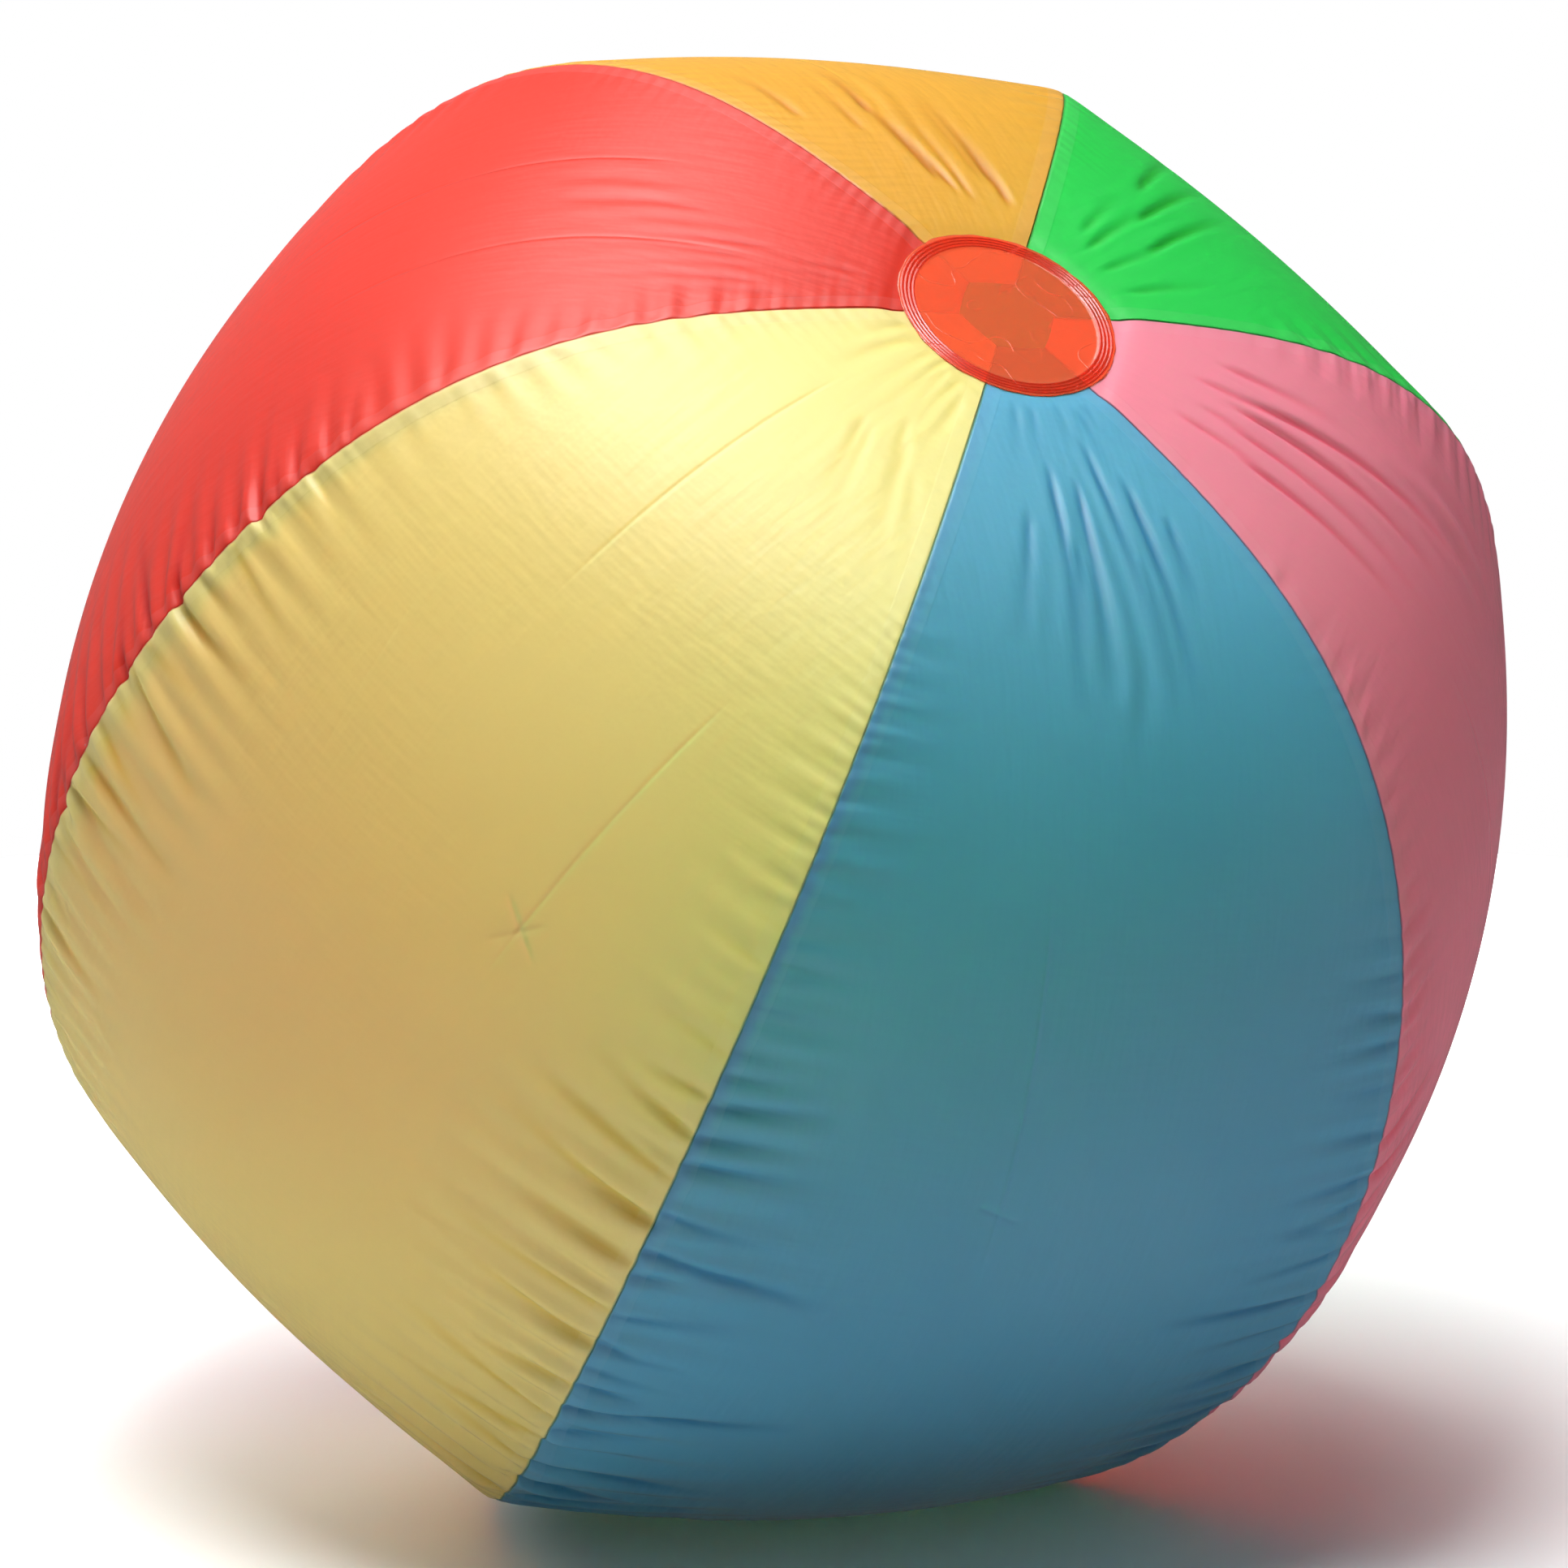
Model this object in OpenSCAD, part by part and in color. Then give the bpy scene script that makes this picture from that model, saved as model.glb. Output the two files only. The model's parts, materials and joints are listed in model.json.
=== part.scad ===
// Inflatable beach ball: six coloured vinyl gores welded edge to edge, a vinyl disc
// ring-welded over each pole, and an air valve with a plug, a strap and a check flap.
// Millimetres, +Z up. The origin is on the ground under the middle of the ball.

/* [Ball] */
// Mean width of the inflated ball across its waist
ball_width = 580; // [400:10:900]
// Height from pole to pole as a share of the width
height_share = 0.892; // [0.86:0.002:0.96]
// How six-sided the waist is, from 0 for round to 1 for six flat sides
waist_flatness = 0.39; // [0:0.01:0.6]
// How six-sided the ball is beside its poles
pole_flatness = 0.83; // [0.3:0.01:0.9]
// How much the poles flatten against an ellipsoid
pole_droop = 0.16; // [0.05:0.01:0.2]

/* [Film] */
// Thickness of the vinyl film
film = 0.25; // [0.2:0.05:0.5]
// Width of the welded edge that stands inside each seam
weld_width = 7; // [4:0.5:10]

/* [Polar discs] */
// Width of the disc over each pole
disc_width = 86; // [60:1:88]
// Thickness of the disc film
disc_film = 0.3; // [0.2:0.05:0.5]
// Number of raised rings in the weld round the disc
ring_count = 4; // [2:1:5]
// Distance from one raised ring to the next
ring_pitch = 1.5; // [1.2:0.1:2]
// Distance from the pole to the cut ends of the gores
gore_end = 19; // [14:1:24]

/* [How it lies] */
// Lean of the polar axis away from upright
lean = 37.5; // [25:0.5:45]
// Compass direction in which the top pole leans
lean_heading = -57.5; // [-180:0.5:180]
// Turn of the gores about the polar axis
spin = -129; // [-180:1:180]
// How deep the ground presses the underside flat
sag = 8; // [6:0.5:12]

/* [Valve] */
// Angle from the top pole down to the valve
valve_polar = 132; // [128:1:140]
// Outer width of the flange welded to the film
flange_width = 40; // [36:1:46]
// Width of the hole in the film
port_width = 26; // [25:0.5:28]
// Outer width of the stem
stem_width = 12; // [11.5:0.1:12.4]
// Width of the air passage
bore_width = 9; // [8.8:0.05:9.2]
// Height of the stem's mouth over the film
stem_rise = 17; // [17:0.5:20]
// How far the stem pushes in
stem_travel = 12; // [8:0.5:12]
// Distance from the stem's axis to the strap's fold
fold_reach = 14; // [13.5:0.5:16]

/* [Hidden] */

gore_count = 6;
gore_angle = 360 / gore_count;
ball_r = ball_width / 2;
half_height = ball_r * height_share;
// Flat-sided section with the same girth as the round one
apothem_share = PI / (gore_count * tan(gore_angle / 2));

disc_r = disc_width / 2;
// The film is level under each disc, out to a little past the disc's edge
cap_r = disc_r * 1.11;
cap_polar = asin(cap_r / ball_r);
weld_gap = 0.02;
ring_height = 0.25;
ring_wide = 0.6;
ring_margin = 1.2;

steps_long = 25;
steps_wide = 12;
scan_step = 4;
fine = 96;

amber_turn = 300;
flange_film = 0.8;
bead_high = 1.6;
bead_wide = 1.2;
stem_r = stem_width / 2;
bore_r = bore_width / 2;
port_r = port_width / 2;
collar_r = port_r - 1.5;
stem_depth = 6;
rim_high = 1.5;
rim_r = stem_r + 1;
web_film = 0.5;
web_rise = 5.5;
body_gap = 0.3;
seat_gap = 0.1;
plug_clearance = 0.1;
plug_band = 1.8;
plug_length = 8.5;
plug_tip_r = 2.4;
cap_film = 2;
strap_wide = 4.5;
strap_film = 1;
flap_film = 0.8;
flap_r = stem_r - 0.4;
// Fold line of the strap, level with the middle of the plug's sealing band
fold_z = stem_rise - plug_band / 2 + seat_gap;
// Fold line of the check flap, beside the stem's inner end
flap_fold_x = -stem_r - 0.5;
flap_fold_z = -stem_depth - body_gap - flap_film / 2;

// --- Shape of the film -------------------------------------------------------

function squared(v) = v * v;

// Mean radius and height at an angle t down from the top pole
function mean_r(t) = ball_r * sin(t);
function film_z(t) =
    half_height / (1 - pole_droop) * cos(t) * (1 - pole_droop * squared(squared(cos(t))));
function flatness(t) =
    waist_flatness + (pole_flatness - waist_flatness) * squared(cos(t));

// Radius at a turn of a degrees from the middle of a gore, where the mean radius is m
function section_r(m, t, a) =
    m * ((1 - flatness(t)) + flatness(t) * apothem_share / cos(a));

// A point of the film's outer face; the caps under the discs are level
function film_point(m, t, a) =
    [section_r(m, t, a) * cos(a), section_r(m, t, a) * sin(a),
     min(max(film_z(t), -film_z(cap_polar)), film_z(cap_polar))];

// Stations along a gore: its cut end, the cap's edge, round to the other cut end
function station_polar(i) =
    let (k = min(max(i - 1, 0), steps_long - 2))
    cap_polar + (180 - 2 * cap_polar) * k / (steps_long - 2);
function station_r(i) =
    (i == 0 || i == steps_long) ? gore_end : mean_r(station_polar(i));

// --- How the ball lies -------------------------------------------------------

function turned_z(p, a) = [p.x * cos(a) - p.y * sin(a), p.x * sin(a) + p.y * cos(a), p.z];
function turned_y(p, a) = [p.x * cos(a) + p.z * sin(a), p.y, -p.x * sin(a) + p.z * cos(a)];
function leant(p) = turned_z(turned_y(turned_z(p, spin), lean), lean_heading);

lowest = min([for (t = [cap_polar : scan_step : 180 - cap_polar])
              for (g = [0 : gore_angle : 359])
              for (a = [-gore_angle / 2 : scan_step / 2 : gore_angle / 2])
              leant(turned_z(film_point(mean_r(t), t, a), g)).z]);
middle_high = -lowest - sag;
middle = [0, 0, middle_high];

// A point of the ball's own frame, laid in place and pressed flat by the ground
function laid(p) = leant(p) + middle;
function pressed(p) = [p.x, p.y, max(p.z, 0)];

module lay() {
    translate(middle) rotate([0, lean, lean_heading]) rotate([0, 0, spin]) children();
}

// --- Gores -------------------------------------------------------------------

function toward_middle(p, d) = p + (middle - p) * d / norm(middle - p);

// One side of a gore's section in order: outer face, welded edge, inner face, welded edge
function gore_section(i, turn) =
    let (t = station_polar(i),
         m = station_r(i),
         half = gore_angle / 2,
         outer = [for (j = [0 : steps_wide])
                  film_point(m, t, -half + gore_angle * j / steps_wide)],
         off_low = [sin(half), cos(half), 0] * film,
         off_high = [sin(half), -cos(half), 0] * film,
         face = [for (p = outer) pressed(laid(turned_z(p, turn)))],
         low_in = pressed(laid(turned_z(outer[0] + off_low, turn))),
         high_in = pressed(laid(turned_z(outer[steps_wide] + off_high, turn))))
    concat(face,
           [toward_middle(face[steps_wide], weld_width), toward_middle(high_in, weld_width),
            toward_middle(high_in, film)],
           [for (j = [steps_wide - 1 : -1 : 1]) toward_middle(face[j], film)],
           [toward_middle(low_in, film), toward_middle(low_in, weld_width),
            toward_middle(face[0], weld_width)]);

loop_size = 2 * (steps_wide + 1) + 4;
inner_start = steps_wide + 3;

function at(i, k) = i * loop_size + k % loop_size;
function inner_of(j) = inner_start + steps_wide - j;

// Both faces of the film split each patch along the same diagonal
function patch(i, k) =
    (k < inner_start)
    ? [[at(i, k), at(i + 1, k + 1), at(i, k + 1)], [at(i, k), at(i + 1, k), at(i + 1, k + 1)]]
    : [[at(i, k), at(i + 1, k), at(i, k + 1)], [at(i, k + 1), at(i + 1, k), at(i + 1, k + 1)]];

function end_quads(i) =
    concat([for (j = [0 : steps_wide - 1])
            [at(i, j), at(i, j + 1), at(i, inner_of(j + 1)), at(i, inner_of(j))]],
           [[at(i, steps_wide), at(i, steps_wide + 1), at(i, steps_wide + 2), at(i, inner_start)],
            [at(i, 0), at(i, inner_of(0)), at(i, loop_size - 2), at(i, loop_size - 1)]]);
function halves(q) = [[q[0], q[1], q[2]], [q[0], q[2], q[3]]];
function backwards(f) = [f[2], f[1], f[0]];

module gore_film(turn) {
    points = [for (i = [0 : steps_long]) each gore_section(i, turn)];
    sides = [for (i = [0 : steps_long - 1]) for (k = [0 : loop_size - 1]) each patch(i, k)];
    near_end = [for (q = end_quads(0)) each halves(q)];
    far_end = [for (q = end_quads(steps_long)) for (f = halves(q)) backwards(f)];
    polyhedron(points, concat(sides, near_end, far_end));
}

module gore_red() {
    color([0.88, 0.24, 0.12, 0.85]) gore_film(0);
}

module gore_yellow() {
    color([0.93, 0.88, 0.52, 0.85]) gore_film(gore_angle);
}

module gore_blue() {
    color([0.10, 0.55, 0.68, 0.85]) gore_film(2 * gore_angle);
}

module gore_pink() {
    color([0.90, 0.42, 0.52, 0.85]) gore_film(3 * gore_angle);
}

module gore_green() {
    color([0.12, 0.78, 0.30, 0.85]) gore_film(4 * gore_angle);
}

module gore_amber() {
    color([0.85, 0.62, 0.12, 0.85])
    difference() {
        gore_film(amber_turn);
        at_valve() cylinder(h = 2 * port_r, r = port_r, center = true, $fn = fine);
    }
}

// --- Polar discs -------------------------------------------------------------

// A disc with the raised rings of its weld, lying on the level cap of the film
module ring_welded_disc() {
    rotate_extrude($fn = fine) {
        square([disc_r, disc_film]);
        for (k = [0 : ring_count - 1])
            translate([disc_r - ring_margin - ring_wide - k * ring_pitch, 0])
                square([ring_wide, disc_film + ring_height]);
    }
}

module top_disc() {
    color([0.92, 0.35, 0.18, 0.8])
    lay() translate([0, 0, film_z(cap_polar) + weld_gap]) ring_welded_disc();
}

module bottom_disc() {
    color([0.92, 0.35, 0.18, 0.8])
    lay() mirror([0, 0, 1]) translate([0, 0, film_z(cap_polar) + weld_gap]) ring_welded_disc();
}

// --- Valve -------------------------------------------------------------------

valve_r = section_r(mean_r(valve_polar), valve_polar, 0);
valve_z = film_z(valve_polar);
slope_r = section_r(mean_r(valve_polar + 1), valve_polar + 1, 0)
        - section_r(mean_r(valve_polar - 1), valve_polar - 1, 0);
slope_z = film_z(valve_polar + 1) - film_z(valve_polar - 1);
valve_tip = atan2(-slope_z, slope_r);

// The valve's own frame: +Z out along the stem, origin on the film's outer face
module at_valve() {
    lay() rotate([0, 0, amber_turn]) translate([valve_r, 0, valve_z])
        rotate([0, valve_tip, 0]) children();
}

module valve_flange() {
    color([0.93, 0.93, 0.90, 0.9])
    at_valve() rotate_extrude($fn = fine) {
        translate([collar_r, 0]) square([flange_width / 2 - collar_r, flange_film]);
        translate([collar_r, -bead_high / 2]) square([bead_wide, bead_high * 1.5]);
    }
}

// The thin wall that rolls inside out as the stem is pushed in
module valve_web() {
    color([0.95, 0.95, 0.93, 0.8])
    at_valve() rotate_extrude($fn = fine)
        polygon([[collar_r, 0], [collar_r, web_film],
                 [stem_r + body_gap, web_rise + web_film], [stem_r + body_gap, web_rise]]);
}

module valve_stem() {
    color([0.95, 0.95, 0.93])
    at_valve() difference() {
        union() {
            translate([0, 0, -stem_depth])
                cylinder(h = stem_depth + stem_rise, r = stem_r, $fn = fine);
            translate([0, 0, stem_rise - rim_high]) cylinder(h = rim_high, r = rim_r, $fn = fine);
            translate([0, -strap_wide / 2, fold_z - strap_film])
                cube([fold_reach - body_gap, strap_wide, strap_film]);
        }
        cylinder(h = 4 * stem_rise, r = bore_r, center = true, $fn = fine);
    }
}

// The flap that air pressure holds over the stem's inner end
module check_flap() {
    color([0.90, 0.90, 0.88])
    at_valve() translate([0, 0, -stem_depth - body_gap - flap_film]) {
        cylinder(h = flap_film, r = flap_r, $fn = fine);
        translate([flap_fold_x, -strap_wide / 2, 0]) cube([-flap_fold_x, strap_wide, flap_film]);
    }
}

// The strap from its fold to the edge of the plug's cap
module plug_strap() {
    color([0.95, 0.95, 0.93])
    at_valve() translate([0, 0, stem_rise + seat_gap]) difference() {
        translate([0, -strap_wide / 2, 0]) cube([fold_reach, strap_wide, strap_film]);
        translate([0, 0, -strap_film])
            cylinder(h = 3 * strap_film, r = rim_r + weld_gap, $fn = fine);
    }
}

module valve_plug() {
    plug_r = bore_r - plug_clearance;
    color([0.95, 0.95, 0.93])
    at_valve() translate([0, 0, stem_rise + seat_gap]) rotate_extrude($fn = fine)
        polygon([[0, -plug_length], [plug_tip_r, -plug_length], [plug_r - 0.2, -plug_band],
                 [plug_r, -plug_band], [plug_r, 0], [rim_r, 0], [rim_r, cap_film - 0.5],
                 [rim_r - 0.5, cap_film], [0, cap_film]]);
}

gore_red();
gore_yellow();
gore_blue();
gore_pink();
gore_green();
gore_amber();
top_disc();
bottom_disc();
valve_flange();
valve_web();
valve_stem();
check_flap();
plug_strap();
valve_plug();
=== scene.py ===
"""Looks of an inflatable beach ball: six welded vinyl gores, two polar discs and an air valve.

The film is relaxed from the ball's plain shape: each gore has a little more length beside its
seams and a little more width beside its poles than the plain shape has room for, and the spare
film buckles into puckers while air pressure holds the rest taut. Narrow creases are then added
beside the poles and along the seams, and the valve's port is cut in the amber gore.
"""
import json
import logging
import math
from dataclasses import dataclass, field
from enum import Enum
from typing import Any, Callable, Optional, Sequence, Union

import bpy
import numpy as np
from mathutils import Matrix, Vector


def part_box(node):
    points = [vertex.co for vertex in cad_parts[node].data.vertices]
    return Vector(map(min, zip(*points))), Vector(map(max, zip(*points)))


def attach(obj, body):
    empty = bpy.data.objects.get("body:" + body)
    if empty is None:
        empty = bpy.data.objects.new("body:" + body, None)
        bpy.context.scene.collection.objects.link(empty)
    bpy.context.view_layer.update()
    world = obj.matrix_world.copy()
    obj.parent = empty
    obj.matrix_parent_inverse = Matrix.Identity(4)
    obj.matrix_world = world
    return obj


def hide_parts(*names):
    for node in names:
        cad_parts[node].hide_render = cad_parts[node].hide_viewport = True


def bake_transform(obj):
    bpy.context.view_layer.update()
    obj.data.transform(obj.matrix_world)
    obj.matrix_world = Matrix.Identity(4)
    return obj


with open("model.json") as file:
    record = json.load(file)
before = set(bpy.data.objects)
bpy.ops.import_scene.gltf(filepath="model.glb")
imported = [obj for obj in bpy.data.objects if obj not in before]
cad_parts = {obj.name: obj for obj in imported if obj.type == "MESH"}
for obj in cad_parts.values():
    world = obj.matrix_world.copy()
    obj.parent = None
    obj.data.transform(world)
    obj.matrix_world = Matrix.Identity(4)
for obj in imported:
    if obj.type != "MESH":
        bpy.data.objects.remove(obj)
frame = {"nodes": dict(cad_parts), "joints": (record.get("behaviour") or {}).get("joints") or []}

LOG = logging.getLogger("beach_ball")
MM = 0.001
TINY = 1e-9
GORES = 6
GORE_ANGLE = 2 * math.pi / GORES
Array = np.ndarray
Range = tuple[float, float]


class Film(Enum):
    """The colours of film, in the order of the gores round the top pole."""

    RED = "red"
    YELLOW = "yellow"
    BLUE = "blue"
    PINK = "pink"
    GREEN = "green"
    AMBER = "amber"


FILMS = tuple(Film)
VALVE_GORE = FILMS.index(Film.AMBER)


def unit(v: Array) -> Array:
    """Returns v at length 1 along its last axis."""
    return v / (np.linalg.norm(v, axis=-1, keepdims=True) + 1e-12)


def fade(x: Array, low: float, high: float) -> Array:
    """Returns 0 below low and 1 above high, with a smooth step between."""
    t = np.clip((x - low) / (high - low), 0, 1)
    return t * t * (3 - 2 * t)


def box_middle(node: str) -> Array:
    """Returns the middle of a CAD node's box, in metres."""
    low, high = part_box(node)
    return (np.array(low) + np.array(high)) / 2


def node_points(node: str) -> Array:
    """Returns a CAD node's points, in metres."""
    return np.array([tuple(v.co) for v in frame["nodes"][node].data.vertices])


def valve_outward() -> Array:
    """Returns the direction out of the valve, against its push."""
    push = next(j for j in frame["joints"] if j["name"] == "valve_push")
    return -np.array(push["axis"], float)


def ring_turns(count: int) -> Array:
    """Returns evenly spaced angles round a whole turn."""
    return np.linspace(0, 2 * math.pi, count, endpoint=False)


def ring_quads(rows: int, count: int, wrap: bool = False, turned: bool = False) -> Array:
    """Joins rings of points by quads.

    Args:
        rows: Rows of quads.
        count: Points in each ring.
        wrap: Whether the last row of quads ends at the first ring.
        turned: Whether the quads face the other way.

    Returns:
        The quads' vertex numbers, as a grid of rows and columns.
    """
    i, k = np.meshgrid(np.arange(rows), np.arange(count), indexing="ij")
    below = (i + 1) % rows if wrap else i + 1
    after = (k + 1) % count
    corners = [i * count + k, below * count + k, below * count + after, i * count + after]
    if turned:
        corners = corners[:1] + corners[:0:-1]
    return np.stack(corners, axis=-1)


# --- Shader maths ---


def maths(operation: str, swap: bool = False) -> Callable[..., "Value"]:
    """Makes a method that adds a Math node, or a Vector Math node where a side is a vector.

    Args:
        operation: The node's operation.
        swap: Whether the method's own value comes last.

    Returns:
        The method, which takes the other operands and returns the node's output.
    """

    def method(value: "Value", *others: Any) -> "Value":
        """Returns the operation's result."""
        terms = [value, *others]
        if swap:
            terms.reverse()
        wide = any(isinstance(t, Value) and t.socket.type == "VECTOR" for t in terms)
        kind = "ShaderNodeVectorMath" if wide else "ShaderNodeMath"
        return value.graph.node(kind, {"operation": operation}, dict(enumerate(terms)))

    return method


@dataclass(frozen=True)
class Value:
    """A node's output, which Python's operators turn into Math and Mix nodes."""

    graph: "Graph"
    socket: bpy.types.NodeSocket

    __add__ = __radd__ = maths("ADD")
    __sub__ = maths("SUBTRACT")
    __rsub__ = maths("SUBTRACT", swap=True)
    __mul__ = maths("MULTIPLY")
    __truediv__ = maths("DIVIDE")
    sine = maths("SINE")
    size = maths("ABSOLUTE")
    exponent = maths("EXPONENT")

    def step(self, low: float, high: float) -> "Value":
        """Returns 0 below low and 1 above high, with a smooth step between."""
        settings = {"interpolation_type": "SMOOTHSTEP"}
        return self.graph.node("ShaderNodeMapRange", settings, {0: self, 1: low, 2: high})

    def blend(self, first: Any, second: Any) -> "Value":
        """Returns the mix of two colours, where this value is the second one's share."""
        return self.graph.mix({0: self, 6: first, 7: second})


class Graph:
    """A material's nodes."""

    def __init__(self, name: str) -> None:
        """Makes an empty material called name."""
        self.material = bpy.data.materials.new(name)
        self.material.use_nodes = True
        self.tree = self.material.node_tree
        self.tree.nodes.clear()

    def node(self, kind: str, settings: dict, links: dict, out: Union[int, str] = 0) -> Value:
        """Adds a node.

        Args:
            kind: The node's type.
            settings: Its properties, set before its sockets.
            links: Its inputs, as numbers, colours or values.
            out: The output that is returned.

        Returns:
            The chosen output.
        """
        made = self.tree.nodes.new(kind)
        for key, value in settings.items():
            setattr(made, key, value)
        for key, term in links.items():
            if isinstance(term, Value):
                self.tree.links.new(term.socket, made.inputs[key])
            else:
                made.inputs[key].default_value = term
        return Value(self, made.outputs[out])

    def mix(self, links: dict) -> Value:
        """Adds a Mix node for colours, whose factor is input 0 and its colours 6 and 7."""
        return self.node("ShaderNodeMix", {"data_type": "RGBA"}, links, 2)

    def attribute(self, name: str) -> Value:
        """Returns a number stored on the mesh's points."""
        return self.node("ShaderNodeAttribute", {"attribute_name": name}, {}, "Fac")

    def place(self) -> Value:
        """Returns the point's place in the object's own coordinates."""
        return self.node("ShaderNodeTexCoord", {}, {}, "Object")

    def noise(self, where: Value, scale: float, detail: float = 2.0) -> Value:
        """Returns smooth noise about 0.5 at a place, with scale cells to the metre."""
        links = {"Vector": where, "Scale": scale, "Detail": detail}
        return self.node("ShaderNodeTexNoise", {}, links, "Fac")

    def bump(self, height: Value, strength: float = 1.0) -> Value:
        """Returns a normal that height, in metres, raises."""
        links = {"Height": height, "Strength": strength, "Distance": 1.0}
        return self.node("ShaderNodeBump", {}, links)

    def finish(self, links: dict, kind: str = "BsdfPrincipled") -> bpy.types.Material:
        """Adds a shader and the output, and returns the material."""
        shader = self.node("ShaderNode" + kind, {}, links)
        output = self.tree.nodes.new("ShaderNodeOutputMaterial")
        self.tree.links.new(shader.socket, output.inputs["Surface"])
        return self.material


# --- The ball's plain shape ---


@dataclass(frozen=True)
class BallShape:
    """The plain shape of the inflated film, in the ball's own frame with +Z at the top pole."""

    width: float = 0.580
    height_share: float = 0.892
    waist_flatness: float = 0.39
    pole_flatness: float = 0.83
    pole_droop: float = 0.16
    disc_width: float = 0.086
    gore_end: float = 0.019
    cap_margin: float = 1.11
    fine_stations: int = 4001

    @property
    def radius(self) -> float:
        """Returns the mean radius of the waist."""
        return self.width / 2

    @property
    def cap_radius(self) -> float:
        """Returns the radius of the level cap under a disc."""
        return self.cap_margin * self.disc_width / 2

    @property
    def cap_polar(self) -> float:
        """Returns the angle from the pole to the cap's edge."""
        return math.asin(self.cap_radius / self.radius)

    def height(self, polar: Array) -> Array:
        """Returns the film's height over the ball's middle at a polar angle."""
        c = np.cos(polar)
        top = self.radius * self.height_share / (1 - self.pole_droop)
        return top * c * (1 - self.pole_droop * c**4)

    @property
    def cap_height(self) -> float:
        """Returns the height of the level cap over the ball's middle."""
        return float(self.height(np.float64(self.cap_polar)))

    def flatness(self, polar: Array) -> Array:
        """Returns how six-sided the ball is at a polar angle."""
        spread = self.pole_flatness - self.waist_flatness
        return self.waist_flatness + spread * np.cos(polar) ** 2

    def point(self, mean_radius: Array, polar: Array, turn: Array) -> Array:
        """Returns points of the film.

        Args:
            mean_radius: Mean radius of the section that the point is on.
            polar: Angle from the top pole.
            turn: Angle from the middle of the gore.

        Returns:
            The points, in metres.
        """
        apothem = math.pi / (GORES * math.tan(GORE_ANGLE / 2))
        k = self.flatness(polar)
        r = mean_radius * ((1 - k) + k * apothem / np.cos(turn))
        z = np.clip(self.height(polar), -self.cap_height, self.cap_height) + 0 * r
        return np.stack([r * np.cos(turn), r * np.sin(turn), z], axis=-1)

    def stations(self, rows: int) -> tuple[Array, Array, Array]:
        """Spaces stations evenly along the middle of a gore, from cut end to cut end.

        Args:
            rows: Number of spaces between stations.

        Returns:
            The distance along the gore, the polar angle and the mean radius of each.
        """
        fine = np.linspace(self.cap_polar, math.pi - self.cap_polar, self.fine_stations)
        curve = self.point(self.radius * np.sin(fine), fine, 0 * fine)
        run = np.r_[0, np.cumsum(np.linalg.norm(np.diff(curve, axis=0), axis=1))]
        shrink = float(self.point(np.float64(1), np.float64(self.cap_polar), np.float64(0))[0])
        level = (self.cap_radius - self.gore_end) * shrink
        whole = run[-1] + 2 * level
        along = np.linspace(0, whole, rows + 1)
        polar = np.interp(along - level, run, fine)
        mean = self.radius * np.sin(polar)
        near = np.minimum(along, whole - along)
        reach = self.gore_end + (self.cap_radius - self.gore_end) * near / level
        return along, polar, np.where(near < level, reach, mean)


@dataclass(frozen=True)
class BallFrame:
    """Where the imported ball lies: its middle and the turn from its own frame."""

    middle: Array
    turn: Array

    @classmethod
    def measured(cls) -> "BallFrame":
        """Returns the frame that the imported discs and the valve's axis give."""
        top, bottom = box_middle("top_disc"), box_middle("bottom_disc")
        pole = unit(top - bottom)
        outward = valve_outward()
        amber = unit(outward - pole * (outward @ pole))
        side = np.cross(pole, amber)
        angle = -VALVE_GORE * GORE_ANGLE
        first = amber * math.cos(angle) + side * math.sin(angle)
        turn = np.stack([first, np.cross(pole, first), pole], axis=1)
        return cls((top + bottom) / 2, turn)

    def lay(self, points: Array) -> Array:
        """Returns points of the ball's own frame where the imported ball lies."""
        return points @ self.turn.T + self.middle


# --- Relaxing the film ---


def soft_noise(rows: int, columns: int, cells: tuple[int, int], rng: Any) -> Array:
    """Returns smooth random values on a grid.

    Args:
        rows: Rows of the grid.
        columns: Columns of the grid.
        cells: Random cells along and across it.
        rng: Source of the random numbers.

    Returns:
        Values with a spread of about 1.
    """
    knots = rng.standard_normal((cells[0] + 3, cells[1] + 3))
    u, v = np.linspace(0, cells[0], rows), np.linspace(0, cells[1], columns)
    iu, iv = u.astype(int), v.astype(int)
    fu, fv = fade(u - iu, 0, 1)[:, None], fade(v - iv, 0, 1)
    upper = knots[iu][:, iv] * (1 - fv) + knots[iu][:, iv + 1] * fv
    lower = knots[iu + 1][:, iv] * (1 - fv) + knots[iu + 1][:, iv + 1] * fv
    return upper * (1 - fu) + lower * fu


def gap_pull(first: Array, second: Array, rest: Array, strength: float) -> None:
    """Moves pairs of points toward their rest distance, in place."""
    gap = second - first
    now = np.sqrt(np.einsum("...i,...i->...", gap, gap)) + 1e-9
    move = (0.5 * strength * (now - rest) / now)[..., None] * gap
    first += move
    second -= move


@dataclass(frozen=True)
class Gather:
    """Where one seam gathers the film most, as angles from the top pole."""

    middle: float
    spread: float
    strength: float
    least: float = 0.4

    def along(self, polar: Array) -> Array:
        """Returns the strength of the gathering at each angle from the top pole."""
        off = (np.degrees(polar) - self.middle) / self.spread
        return self.least + self.strength * np.exp(-(off**2))


GATHERS = {
    Film.RED: Gather(82, 32, 1.25),
    Film.YELLOW: Gather(102, 34, 1.9),
    Film.BLUE: Gather(94, 27, 1.5),
    Film.PINK: Gather(90, 38, 0.8),
    Film.GREEN: Gather(75, 38, 0.9),
    Film.AMBER: Gather(100, 34, 1.0),
}

CREASES = {
    Film.RED: 0.45,
    Film.YELLOW: 0.3,
    Film.BLUE: 0.9,
    Film.PINK: 1.0,
    Film.GREEN: 1.0,
    Film.AMBER: 0.7,
}


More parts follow.
